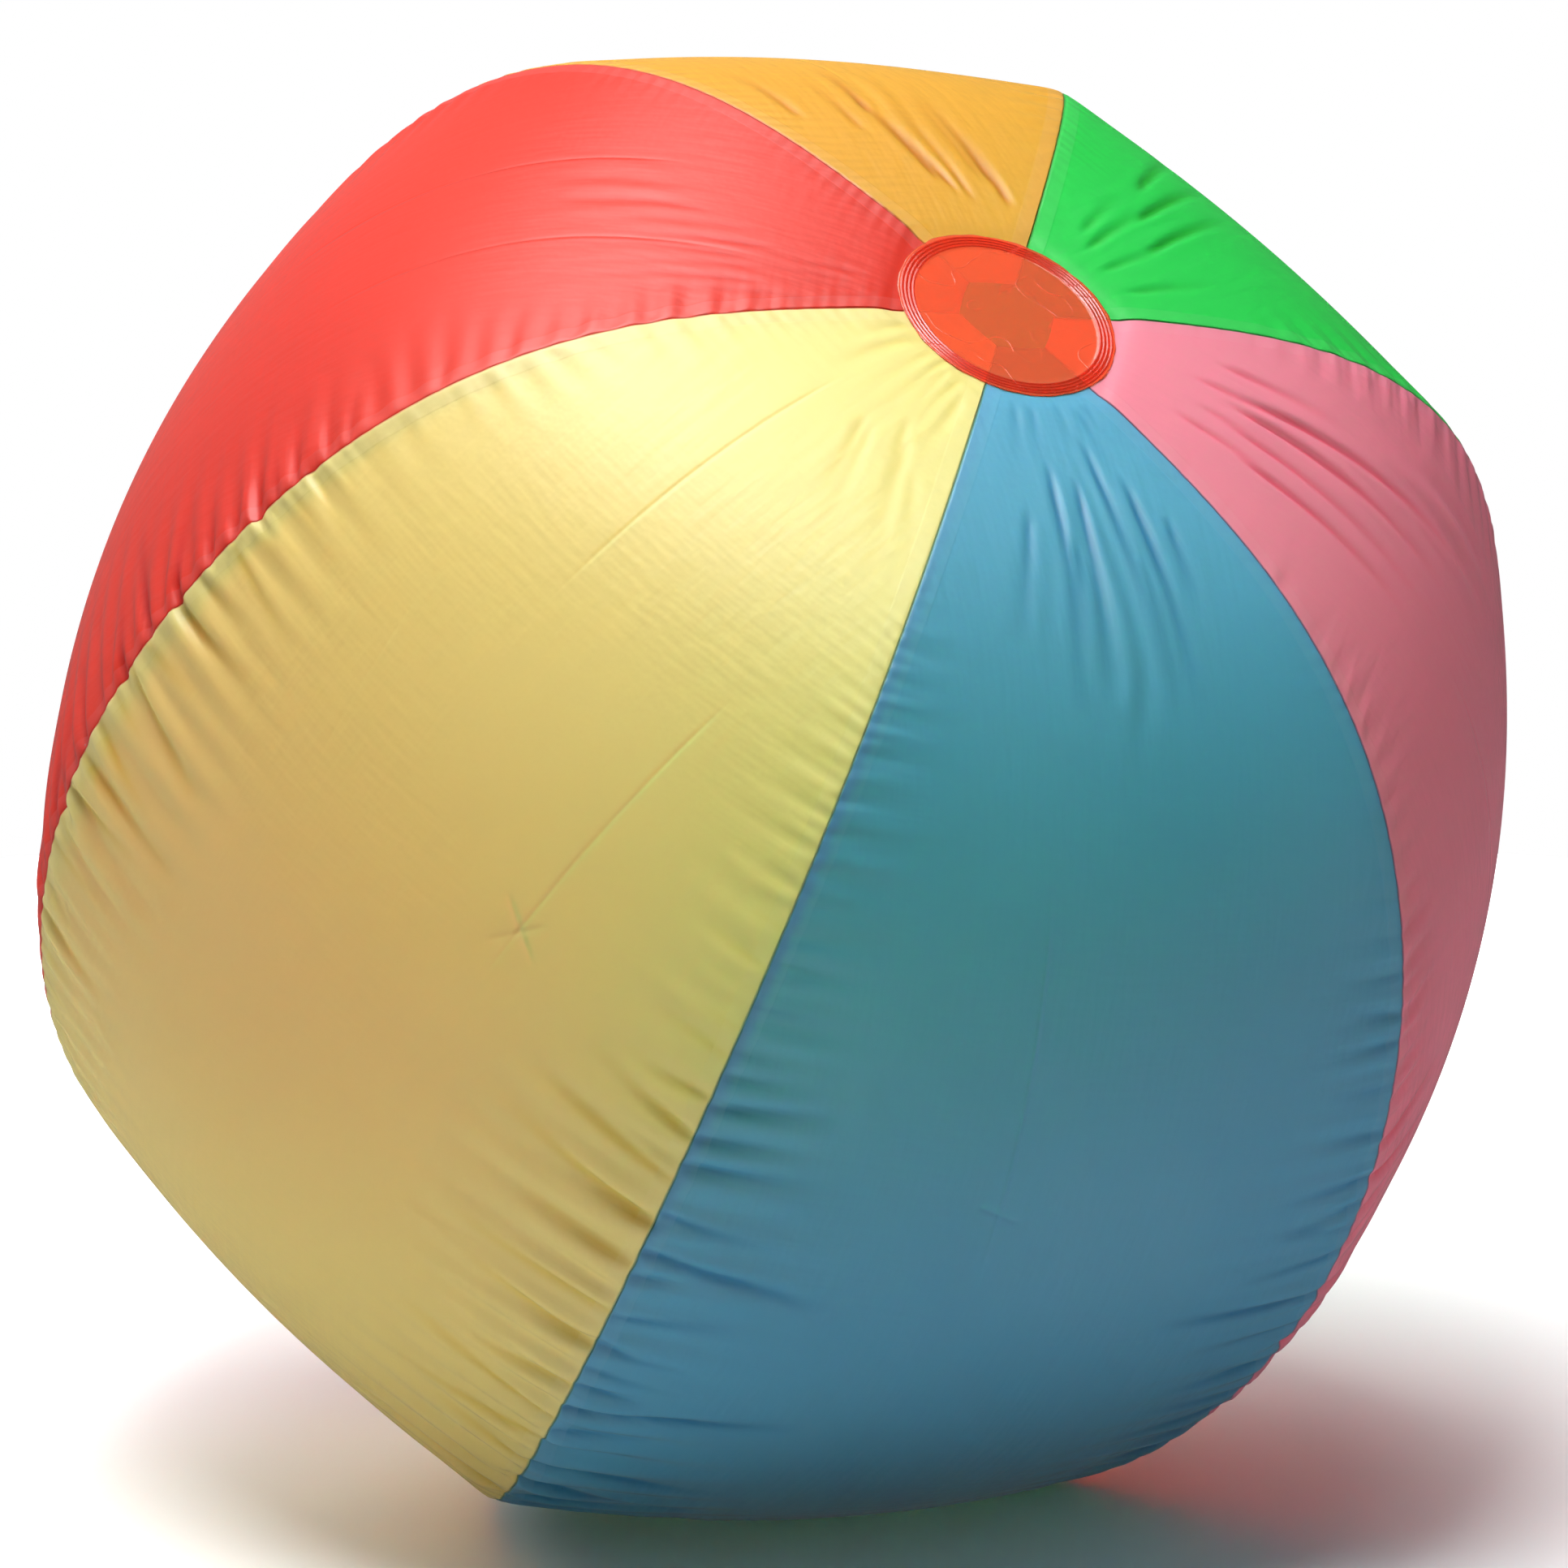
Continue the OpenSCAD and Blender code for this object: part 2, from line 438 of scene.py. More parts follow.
@dataclass(frozen=True)
class Patches:
    """Uneven strength over a gore: random cells along and across it round a mean."""

    cells: tuple[int, int]
    mean: float
    swing: float

    def over(self, rows: int, columns: int, rng: Any) -> Array:
        """Returns the strength on a grid of rows and columns."""
        return self.mean + self.swing * soft_noise(rows, columns, self.cells, rng)


@dataclass
class Spare:
    """How much more film there is than the plain shape has room for, as shares of length."""

    beside_seam: float = 0.036
    seam_reach: float = 0.021
    lower_reach: float = 0.75
    lower_from: Range = (50, 90)
    seam_share: float = 0.45
    seam_patches: Patches = Patches((9, 3), 1, 0.5)
    most_length: float = 0.085
    open_end: Range = (0.05, 0.13)
    all_over: float = 0.003
    all_patches: Patches = Patches((24, 4), 1, 0.6)
    beside_pole: float = 0.034
    pole_middle: float = 0.18
    pole_spread: float = 0.095
    pole_patches: Patches = Patches((8, 6), 0.35, 0.95)
    pole_clear: Range = (0.006, 0.03)
    most_width: float = 0.06


@dataclass
class Relaxation:
    """The film as a grid of points per gore, joined at the seams and relaxed in steps."""

    shape: BallShape
    place: BallFrame
    spare: Spare = field(default_factory=Spare)
    rows: int = 440
    columns: int = 84
    steps: int = 560
    seed: int = 3
    pressure: float = 1.5e-6
    hold: float = 0.0012
    bend_top: float = 0.014
    bend_low: float = 0.032
    bend_fade: Range = (50, 110)
    keep_speed: float = 0.9
    straight_pull: float = 0.9
    slanted_pull: float = 0.5
    start_lumps: tuple[Patches, ...] = (Patches((120, 12), 0, 0.35), Patches((60, 20), 0, 0.35))
    start_grain: float = 0.15
    start_calm: float = 0.006
    start_least: float = 0.3
    renew_normals: int = 4
    quick_share: int = 8
    pinned_share: float = 0.98

    def __post_init__(self) -> None:
        """Lays out the plain shape and its distances."""
        self.along, self.polar, self.mean = self.shape.stations(self.rows)
        self.turns = np.linspace(-GORE_ANGLE / 2, GORE_ANGLE / 2, self.columns + 1)
        one = self.shape.point(self.mean[:, None], self.polar[:, None], self.turns[None, :])
        gores = []
        for k in range(GORES):
            c, s = math.cos(k * GORE_ANGLE), math.sin(k * GORE_ANGLE)
            spun = one @ np.array([[c, s, 0], [-s, c, 0], [0, 0, 1]])
            gores.append(self.place.lay(spun))
        self.plain = np.array(gores, dtype=np.float32)
        self.plain[..., 2] = np.maximum(self.plain[..., 2], 0)
        half = self.mean[:, None] * GORE_ANGLE / 2
        self.across = half * np.linspace(-1, 1, self.columns + 1)[None, :]
        self.from_seam = half - np.abs(self.across)

    def normals(self, points: Array) -> Array:
        """Returns the outward normals of the film's grid."""
        down, round_ = np.gradient(points, axis=1), np.gradient(points, axis=2)
        return unit(np.cross(down, round_))

    @staticmethod
    def join(points: Array) -> None:
        """Brings the edges that a seam joins together, in place."""
        edge = (points[:, :, -1] + np.roll(points[:, :, 0], -1, axis=0)) / 2
        points[:, :, -1] = edge
        points[:, :, 0] = np.roll(edge, 1, axis=0)

    def _rest(self, rng: Any) -> tuple[Array, Array, Array, Array]:
        """Returns the rest lengths along, across and on both diagonals of the grid."""
        size = (self.rows + 1, self.columns + 1)
        share = (self.along / self.along[-1])[:, None]
        near_pole = np.minimum(share, 1 - share)
        spare = self.spare
        open_end = fade(near_pole, *spare.open_end)
        bell = np.exp(-(((near_pole - spare.pole_middle) / spare.pole_spread) ** 2))
        inner = fade(self.from_seam, *spare.pole_clear)
        lower = fade(np.degrees(self.polar), *spare.lower_from)
        reach = (spare.seam_reach * (1 + spare.lower_reach * lower))[:, None]
        half = self.mean[:, None] * GORE_ANGLE / 2
        longer, wider = [], []
        for k, film in enumerate(FILMS):
            patchy = spare.seam_patches.over(*size, rng)
            extra = np.zeros(size)
            for gather, away in (
                (GATHERS[FILMS[k - 1]], half + self.across),
                (GATHERS[film], half - self.across),
            ):
                extra += gather.along(self.polar)[:, None] * np.exp(-away / reach)
            extra = spare.beside_seam * extra * patchy
            extra = extra + spare.all_over * spare.all_patches.over(*size, rng)
            lumpy = spare.pole_patches.over(*size, rng)
            crease = CREASES[film] * spare.beside_pole
            longer.append(np.clip(extra * open_end, 0, spare.most_length))
            wider.append(np.clip(crease * lumpy * bell * inner, 0, spare.most_width))
        longer, wider = np.array(longer, np.float32), np.array(wider, np.float32)
        for column in (0, -1):
            longer[:, :, column] *= spare.seam_share
        down, round_ = np.diff(self.plain, axis=1), np.diff(self.plain, axis=2)
        rest_down = np.linalg.norm(down, axis=-1) * (1 + (longer[:, 1:] + longer[:, :-1]) / 2)
        rest_round = np.linalg.norm(round_, axis=-1)
        rest_round = rest_round * (1 + (wider[:, :, 1:] + wider[:, :, :-1]) / 2)
        a = (rest_down[:, :, 1:] + rest_down[:, :, :-1]) / 2
        b = (rest_round[:, 1:] + rest_round[:, :-1]) / 2
        slant = np.einsum(
            "gijk,gijk->gij",
            unit(down[:, :, :-1] + down[:, :, 1:]),
            unit(round_[:, :-1] + round_[:, 1:]),
        )
        near = np.sqrt(a**2 + b**2 + 2 * a * b * slant)
        far = np.sqrt(a**2 + b**2 - 2 * a * b * slant)
        return rest_down, rest_round, near, far

    def _start(self, rng: Any) -> Array:
        """Returns the plain shape with faint unevenness for the puckers to grow from."""
        size = (self.rows + 1, self.columns + 1)
        out = self.normals(self.plain)
        points = self.plain.copy()
        calm = MM * np.clip(self.from_seam / self.start_calm, self.start_least, 1)
        for k in range(GORES):
            lumps = sum(patches.over(*size, rng) for patches in self.start_lumps)
            lumps += self.start_grain * rng.standard_normal(size)
            lumps *= calm
            points[k] += (out[k] * lumps[..., None]).astype(np.float32)
        self.join(points)
        return points

    def _stretches(self, points: Array, rest: Sequence[Array]) -> tuple[list, list]:
        """Pairs the neighbouring points of the film.

        Args:
            points: The film's points, which the pairs stay views of.
            rest: The rest lengths along, across and on both diagonals of the grid.

        Returns:
            The straight pairs and the slanted pairs, each as what gap_pull takes.
        """
        down, round_, near, far = rest
        straight, slanted = [], []
        for odd in (0, 1):
            upper, lower = points[:, odd:-1:2], points[:, odd + 1 :: 2]
            straight.append((upper, lower, down[:, odd::2], self.straight_pull))
            for here, beyond, length in (
                (slice(0, -1), slice(1, None), near),
                (slice(1, None), slice(0, -1), far),
            ):
                pair = (upper[:, :, here], lower[:, :, beyond], length[:, odd::2])
                slanted.append((*pair, self.slanted_pull))
        for odd in (0, 1):
            pair = (points[:, :, odd:-1:2], points[:, :, odd + 1 :: 2], round_[:, :, odd::2])
            straight.append((*pair, self.straight_pull))
        return straight, slanted

    @staticmethod
    def _curvature(points: Array) -> Array:
        """Returns how far each point stands off the mean of its neighbours."""
        lean = np.zeros_like(points)
        lean[:, 1:-1] += (points[:, 2:] + points[:, :-2]) / 2 - points[:, 1:-1]
        lean[:, :, 1:-1] += (points[:, :, 2:] + points[:, :, :-2]) / 2 - points[:, :, 1:-1]
        return lean

    def run(self) -> Array:
        """Relaxes the film and returns its points, one grid for each gore."""
        rng = np.random.default_rng(self.seed)
        rest = self._rest(rng)
        points = self._start(rng)
        straight, slanted = self._stretches(points, rest)
        pinned = (self.mean < self.shape.cap_radius * self.pinned_share)[None, :, None, None]
        pinned = np.broadcast_to(pinned, points.shape)
        steps = self.steps
        share = fade(np.degrees(self.polar), *self.bend_fade)[None, :, None, None]
        bend = (self.bend_top + (self.bend_low - self.bend_top) * share).astype(np.float32)
        speed = np.zeros_like(points)
        for step in range(steps):
            before = points.copy()
            points += speed * self.keep_speed
            if step % self.renew_normals == 0:
                out = self.normals(points)
            points += out * self.pressure
            points += (self.plain - points) * self.hold
            for pairs in (straight, slanted):
                for pair in pairs:
                    gap_pull(*pair)
                self.join(points)
            points -= bend * self._curvature(self._curvature(points))
            self.join(points)
            points[..., 2] = np.maximum(points[..., 2], 0)
            np.copyto(points, self.plain, where=pinned)
            speed = points - before
        return points.astype(np.float64)


# --- Creases ---


@dataclass(frozen=True)
class Crease:
    """A narrow valley in the film that tapers away from its start, in metres on the flat film."""

    start: tuple[float, float]
    lean: float
    length: float
    depth: float
    width: float
    shoulder: float = 0.28
    widening: float = 0.7
    shoulder_reach: float = 2.4
    taper_power: float = 1.1

    def dip(self, across: Array, along: Array) -> Array:
        """Returns the valley's depth over the film's grid."""
        u, v = across - self.start[0], along - self.start[1]
        c, s = math.cos(self.lean), math.sin(self.lean)
        run = (u * s + v * c) / self.length
        aside = (u * c - v * s) / (self.width * (0.75 + self.widening * np.clip(run, 0, 1)))
        taper = fade(run, -0.12, 0.12) * np.clip(1 - run, 0, 1) ** self.taper_power
        lip = self.shoulder * np.exp(-((aside / self.shoulder_reach) ** 2))
        shape = np.exp(-(aside**2)) - lip
        return self.depth * shape * taper


@dataclass(frozen=True)
class Fan:
    """Creases that run from near the top pole toward the waist."""

    count: int
    sides: tuple[float, float]
    start: float
    length: float
    depth: float = 0.0016
    lean: float = 0.0
    width: float = 0.0026


FANS = {
    Film.RED: (Fan(7, (-0.1, 0.85), 0.085, 0.085, 0.0008), Fan(5, (0.3, 0.95), 0.035, 0.05, 0.0006)),
    Film.YELLOW: (
        Fan(8, (-0.75, 0.9), 0.030, 0.045, 0.0006),
        Fan(5, (0.1, 0.8), 0.080, 0.06, 0.0007, 0.35),
    ),
    Film.BLUE: (
        Fan(4, (-0.30, 0.55), 0.060, 0.100, 0.0024),
        Fan(4, (-0.6, 0.7), 0.085, 0.060, 0.0012, -0.1),
        Fan(5, (-0.7, 0.8), 0.030, 0.030, 0.0005),
    ),
    Film.PINK: (
        Fan(4, (-0.45, 0.45), 0.075, 0.120, 0.0026, 0.05),
        Fan(4, (-0.5, 0.7), 0.060, 0.070, 0.0013),
    ),
    Film.GREEN: (Fan(3, (-0.1, 0.6), 0.090, 0.085, 0.0030, 0.1), Fan(4, (-0.6, 0.7), 0.05, 0.05)),
    Film.AMBER: (Fan(6, (-0.75, 0.15), 0.055, 0.070, 0.0018, 0.25), Fan(3, (0, 0.8), 0.09, 0.05)),
}


@dataclass
class Creasing:
    """The creases of one gore: fans beside both poles and puckers along both seams."""

    film: Film
    relaxed: Relaxation
    rng: Any
    pitch_top: float = 0.011
    pitch_low: float = 0.0185
    longest: float = 0.050
    deepest: float = 0.0026
    narrow: float = 0.0022
    wider_low: float = 0.0014
    seam_ends: float = 0.045
    low_from: Range = (48, 84)
    pucker_shoulder: float = 0.5
    pucker_strengths: Range = (0.4, 1.0)
    pucker_pitches: Range = (0.6, 1.4)
    pucker_skew: Range = (-0.22, 0.22)
    pucker_start: float = 0.012
    pucker_length: float = 0.8
    upper_length: float = 0.45
    upper_depth: float = 0.35
    fan_places: Range = (0.2, 0.8)
    fan_starts: Range = (0.8, 1.25)
    fan_lengths: Range = (0.65, 1.1)
    fan_depths: Range = (0.55, 1.1)
    fan_skew: Range = (-0.06, 0.06)
    fan_spread: float = 0.8

    def _half(self, along: float) -> float:
        """Returns half the gore's width at a distance along it."""
        mean = float(np.interp(along, self.relaxed.along, self.relaxed.mean))
        return mean * GORE_ANGLE / 2

    def _fans(self) -> list[Crease]:
        """Returns the creases beside both poles."""
        creases, random = [], self.rng.uniform
        whole = float(self.relaxed.along[-1])
        for fan in FANS[self.film]:
            for foot in (False, True):
                for k in range(fan.count):
                    low, high = fan.sides
                    share = low + (high - low) * (k + random(*self.fan_places)) / fan.count
                    start = fan.start * random(*self.fan_starts)
                    length = fan.length * random(*self.fan_lengths)
                    depth = fan.depth * random(*self.fan_depths)
                    across = share * self._half(start)
                    growth = self._half(start + length) - self._half(start)
                    spread = math.atan2(share * growth, length)
                    lean = spread * self.fan_spread + fan.lean + random(*self.fan_skew)
                    if foot:
                        lean, start = math.pi - lean, whole - start
                    creases.append(Crease((across, start), lean, length, depth, fan.width))
        return creases

    def _puckers(self, side: int) -> list[Crease]:
        """Returns the puckers along one seam.

        Args:
            side: -1 for the gore's first seam, 1 for its last.
        """
        order = FILMS.index(self.film)
        gather = GATHERS[self.film if side > 0 else FILMS[order - 1]]
        creases, along, random = [], self.seam_ends, self.rng.uniform
        while along < float(self.relaxed.along[-1]) - self.seam_ends:
            polar = np.interp(along, self.relaxed.along, self.relaxed.polar)
            strength = float(gather.along(polar)) * random(*self.pucker_strengths)
            lower = float(fade(np.degrees(polar), *self.low_from))
            reach = self.upper_length + (1 - self.upper_length) * lower
            length = (self.pucker_start + self.longest * strength * reach) * self.pucker_length
            depth = self.deepest * strength
            depth *= self.upper_depth + (1 - self.upper_depth) * lower
            width = self.narrow + self.wider_low * lower
            lean = -side * math.pi / 2 + random(*self.pucker_skew)
            start = (side * self._half(along), along)
            creases.append(Crease(start, lean, length, depth, width, self.pucker_shoulder))
            pitch = self.pitch_top + (self.pitch_low - self.pitch_top) * lower
            along += pitch * random(*self.pucker_pitches)
        return creases

    def dips(self) -> Array:
        """Returns the depth of all the gore's creases over its grid."""
        across = self.relaxed.across
        along = np.broadcast_to(self.relaxed.along[:, None], across.shape)
        total = np.zeros(across.shape)
        for crease in self._fans() + self._puckers(-1) + self._puckers(1):
            total += crease.dip(across, along)
        return total


# --- Making pieces ---


def linked(name: str, data: Any) -> bpy.types.Object:
    """Returns a new object with its data, linked to the scene."""
    made = bpy.data.objects.new(name, data)
    bpy.context.scene.collection.objects.link(made)
    return made


def stand(holder: bpy.types.Object, place: Vector, toward: Vector) -> None:
    """Stands a light or a camera at a place, looking in a direction."""
    holder.location = place
    holder.rotation_mode = "QUATERNION"
    holder.rotation_quaternion = toward.to_track_quat("-Z", "Y")


def make_piece(
    name: str, points: Array, faces: Sequence[Array], marks: Optional[dict[str, Array]] = None
) -> bpy.types.Object:
    """Makes a smooth-shaded mesh object.

    Args:
        name: The piece's name.
        points: Its vertices, in metres.
        faces: Its faces, as arrays with a row of vertex numbers for each face.
        marks: Numbers to store on its points, by name.

    Returns:
        The object, linked to the scene.
    """
    mesh = bpy.data.meshes.new(name)
    corners = np.concatenate([np.asarray(f).ravel() for f in faces]).astype(np.int32)
    sizes = np.concatenate([np.full(len(f), len(f[0])) for f in faces])
    starts = (np.cumsum(sizes) - sizes).astype(np.int32)
    mesh.vertices.add(len(points))
    mesh.vertices.foreach_set("co", np.asarray(points, np.float32).ravel())
    mesh.loops.add(len(corners))
    mesh.polygons.add(len(sizes))
    mesh.polygons.foreach_set("loop_start", starts)
    mesh.loops.foreach_set("vertex_index", corners)
    mesh.update(calc_edges=True)
    mesh.polygons.foreach_set("use_smooth", np.ones(len(sizes), dtype=bool))
    for key, numbers in (marks or {}).items():
        store = mesh.attributes.new(key, "FLOAT", "POINT")
        store.data.foreach_set("value", np.asarray(numbers, np.float32).ravel())
    mesh.validate()
    return linked(name, mesh)


def dress(piece: bpy.types.Object, material: bpy.types.Material) -> None:
    """Gives a piece one material in place of any that it has."""
    piece.data.materials.clear()
    piece.data.materials.append(material)


# --- Finishes ---


@dataclass(frozen=True)
class Fold:
    """A faint straight crease that packing left in a gore, in metres on the flat film."""

    start: tuple[float, float]
    end: tuple[float, float]
    depth: float = 0.00030
    width: float = 0.0010


def shade(tint: Sequence[float], power: float = 1.0, gain: float = 1.0, lift: float = 0.0) -> tuple:
    """Returns a tint raised to a power, scaled and lifted, as a socket's colour."""
    return tuple(gain * c**power + lift for c in tint) + (1,)


@dataclass(frozen=True)
class FilmFinish:
    """Translucent satin vinyl film, with its weld band, seam line, folds, fine crinkles and painted
    shade in its creases.
    """

    name: str
    tint: tuple[float, float, float]
    neighbours: tuple[tuple[float, float, float], tuple[float, float, float]]
    folds: tuple[Fold, ...] = ()
    see_through: float = 0.7
    roughness: float = 0.47
    refraction: float = 1.38
    band: float = 0.0068
    band_height: float = 0.00005
    line: float = 0.0005
    pucker_pitch: float = 0.0062
    pucker_reach: float = 0.011
    pucker_height: float = 0.00014
    crinkle_height: float = 0.00018
    streak_height: float = 0.00020

    def _with_folds(self, height: Value, along: Value, across: Value) -> Value:
        """Returns a height with all the packing folds pressed into it."""
        for fold in self.folds:
            run = Vector(fold.end) - Vector(fold.start)
            length = run.length
            run.normalize()
            u, v = across - fold.start[0], along - fold.start[1]
            reach = (u * run.x + v * run.y) / length
            aside = (u * run.y - v * run.x) / fold.width
            ends = reach.step(0.0, 0.2) * (1 - reach.step(0.75, 1.0))
            height = height + (aside * aside * -1.0).exponent() * ends * -fold.depth
        return height

    def material(self) -> bpy.types.Material:
        """Returns the film's material."""
        graph = Graph("film_" + self.name)
        place = graph.place()
        along, across = graph.attribute("along"), graph.attribute("across")
        from_seam = graph.attribute("from_seam")
        right_side = across.step(-0.001, 0.001)
        lapped = [shade(np.multiply(self.tint, n).tolist()) for n in self.neighbours]
        beside = right_side.blend(*lapped)

        broad = graph.noise(place, 9.0, 0.0)
        crinkle = graph.noise(place, 130.0, 2.0)
        flow = graph.node("ShaderNodeCombineXYZ", {}, {0: across * 260.0, 1: along * 38.0})
        streaks = graph.noise(flow, 1.0, 1.0)
        askew = across * 40.0 + along * 12.0
        cross_flow = graph.node("ShaderNodeCombineXYZ", {}, {0: askew, 1: along * 230.0})
        cross_streaks = graph.noise(cross_flow, 1.0, 1.0) * broad.step(0.4, 0.6)

        wave = (along * (2 * math.pi / self.pucker_pitch) + broad * 40.0).sine()
        pucker = wave * (from_seam / -self.pucker_reach).exponent() * broad.step(0.42, 0.62)
        height = pucker * self.pucker_height + crinkle * self.crinkle_height
        height = height + streaks * self.streak_height
        height = height + cross_streaks * self.streak_height
        edge = from_seam.step(self.band * 0.92, self.band * 1.04)
        height = height + (1 - edge) * self.band_height
        height = self._with_folds(height, along, across)

        band = 1 - from_seam.step(self.band * 0.9, self.band)
        line = 1 - from_seam.step(self.line * 0.6, self.line * 1.5)
        colour = (broad.step(0.3, 0.7) * 0.5).blend(shade(self.tint), shade(self.tint, 1.12))
        # Painted shade: the film's colour darkens toward a deeper tint down in the creases' valleys,
        # as far as the crease mark says.
        colour = (graph.attribute("crease") * 0.75).blend(colour, shade(self.tint, 2.1))
        colour = (band * 0.28).blend(colour, shade(self.tint, gain=0.88, lift=0.10))
        colour = (line * 0.6).blend(colour, beside)
        rough = self.roughness + streaks * 0.10 - 0.05
        return graph.finish(
            {
                "Base Color": colour,
                "Roughness": rough,
                "IOR": self.refraction,
                "Transmission Weight": self.see_through,
                "Normal": graph.bump(height),
            }
        )


@dataclass(frozen=True)
class DiscFinish:
    """Clear tinted vinyl, thinner than the gores' film, with fine creases."""

    name: str = "disc_film"
    tint: tuple[float, float, float] = (1.0, 0.19, 0.07)
    see_through: float = 0.79
    roughness: float = 0.16

    def material(self) -> bpy.types.Material:
        """Returns the disc's material."""
        graph = Graph(self.name)
        place = graph.place()
        from_edge = graph.attribute("from_edge")
        welded = from_edge.step(0.0005, 0.0012) * (1 - from_edge.step(0.0062, 0.0068))
        creased = (graph.noise(place, 40.0, 1.0) - 0.5).size()
        height = graph.noise(place, 120.0, 2.0) * 0.00008
        height = height + (1 - creased.step(0.0, 0.012)) * 0.00008
        deep = shade(self.tint, 1.9, 0.8)
        colour = (welded * 0.85).blend(shade(self.tint), deep)
        return graph.finish(
            {
                "Base Color": colour,
                "Roughness": self.roughness + welded * 0.08,
                "IOR": 1.4,
                "Transmission Weight": self.see_through,
                "Normal": graph.bump(height),
            }
        )


@dataclass(frozen=True)
class MouldedFinish:
    """Soft clear moulded vinyl, milky where it is thick."""

    name: str
    tint: tuple[float, float, float] = (0.76, 0.80, 0.77)
    see_through: float = 0.35
    roughness: float = 0.3

    def material(self) -> bpy.types.Material:
        """Returns the moulding's material."""
        graph = Graph(self.name)
        place = graph.place()
        cloud = graph.noise(place, 240.0, 2.0)
        grain = graph.noise(place, 1800.0, 2.0)
        dull = shade(self.tint, gain=0.93)
        return graph.finish(
            {
                "Base Color": cloud.step(0.3, 0.7).blend(shade(self.tint), dull),
                "Roughness": self.roughness + cloud * 0.12,
                "IOR": 1.5,
                "Transmission Weight": self.see_through,
                "Subsurface Weight": 0.3,
                "Subsurface Radius": (0.002, 0.002, 0.002),
                "Coat Weight": 0.2,
                "Coat Roughness": 0.15,
                "Normal": graph.bump(grain * 0.00001 + cloud * 0.00004),
            }
        )


TINTS = {
    Film.RED: (0.72, 0.030, 0.006),
    Film.YELLOW: (0.89, 0.80, 0.33),
    Film.BLUE: (0.13, 0.47, 0.69),
    Film.PINK: (0.95, 0.32, 0.44),
    Film.GREEN: (0.015, 0.66, 0.10),
    Film.AMBER: (0.72, 0.41, 0.03),
}

FOLDS = {
    Film.YELLOW: (
        Fold((-0.010, 0.060), (-0.018, 0.215)),
        Fold((0.062, 0.190), (0.050, 0.345)),
        Fold((0.040, 0.300), (0.066, 0.318), 0.0004, 0.0014),
        Fold((0.043, 0.322), (0.062, 0.300), 0.0004, 0.0014),
        Fold((-0.060, 0.240), (-0.052, 0.330), 0.00008),
    ),
    Film.BLUE: (
        Fold((-0.030, 0.220), (-0.022, 0.390)),
        Fold((-0.034, 0.350), (-0.012, 0.358), 0.0004, 0.0014),
    ),
    Film.RED: (Fold((0.020, 0.070), (0.034, 0.260)), Fold((-0.030, 0.110), (-0.026, 0.300))),
    Film.PINK: (Fold((-0.020, 0.200), (-0.012, 0.420)),),
    Film.GREEN: (Fold((0.012, 0.180), (0.020, 0.420)), Fold((-0.050, 0.400), (-0.044, 0.620))),
    Film.AMBER: (Fold((0.010, 0.120), (0.020, 0.380)), Fold((-0.040, 0.460), (-0.030, 0.680))),
}


# --- The gores ---


@dataclass(frozen=True)
class ValveAxis:
    """The valve's axis: the middle of its packed flange and the direction outward."""

    middle: Array
    outward: Array

    @classmethod
    def measured(cls) -> "ValveAxis":
        """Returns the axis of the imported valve."""
        points = node_points("valve_flange")
        return cls((points.min(axis=0) + points.max(axis=0)) / 2, unit(valve_outward()))

    def split(self, points: Array) -> tuple[Array, Array]:
        """Returns points' heights over the middle and their offsets from the axis."""
        off = points - self.middle
        high = off @ self.outward
        return high, off - high[..., None] * self.outward


@dataclass(frozen=True)
class Port(ValveAxis):
    """The round hole that the valve needs in its gore."""

    radius: float
    level_radius: float
    drop: float = 0.00006
    clearance = 0.0015
    near_plane = 0.03
    level_fade = 1.9
    clear_plane = 0.05

    @classmethod
    def measured(cls) -> "Port":
        """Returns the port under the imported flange."""
        axis = ValveAxis.measured()
        high, flat = axis.split(node_points("valve_flange"))
        away = np.linalg.norm(flat, axis=1)
        rim = high[away > away.max() * 0.98]
        middle = axis.middle + axis.outward * rim.min()
        return cls(middle, axis.outward, away.min() + cls.clearance, away.max())

    def clear(self, points: Array) -> Array:
        """Returns 0 beside the port and 1 away from it."""
        high, flat = self.split(points)
        away = np.linalg.norm(flat, axis=-1)
        near = fade(away, self.level_radius, self.level_radius * 2)
        return np.where(np.abs(high) < self.clear_plane, near, 1)

    def level(self, points: Array) -> Array:
        """Returns points of film brought level under the valve's flange."""
        high, flat = self.split(points)
        away = np.linalg.norm(flat, axis=-1)
        share = 1 - fade(away, self.level_radius, self.level_radius * self.level_fade)
        share = np.where(np.abs(high) < self.near_plane, share, 0)
        target = self.middle + flat - self.drop * self.outward
        return points + (target - points) * share[..., None]

    def inside(self, points: Array) -> Array:
        """Returns which points lie within the hole."""
        high, flat = self.split(points)
        return (np.linalg.norm(flat, axis=-1) < self.radius) & (np.abs(high) < self.near_plane)

    def snap(self, points: Array) -> Array:
        """Returns points moved out to the hole's edge."""
        high, flat = self.split(points)
        return self.middle + high[..., None] * self.outward + unit(flat) * self.radius


SIDES = ((0, 1), (-1, -1))


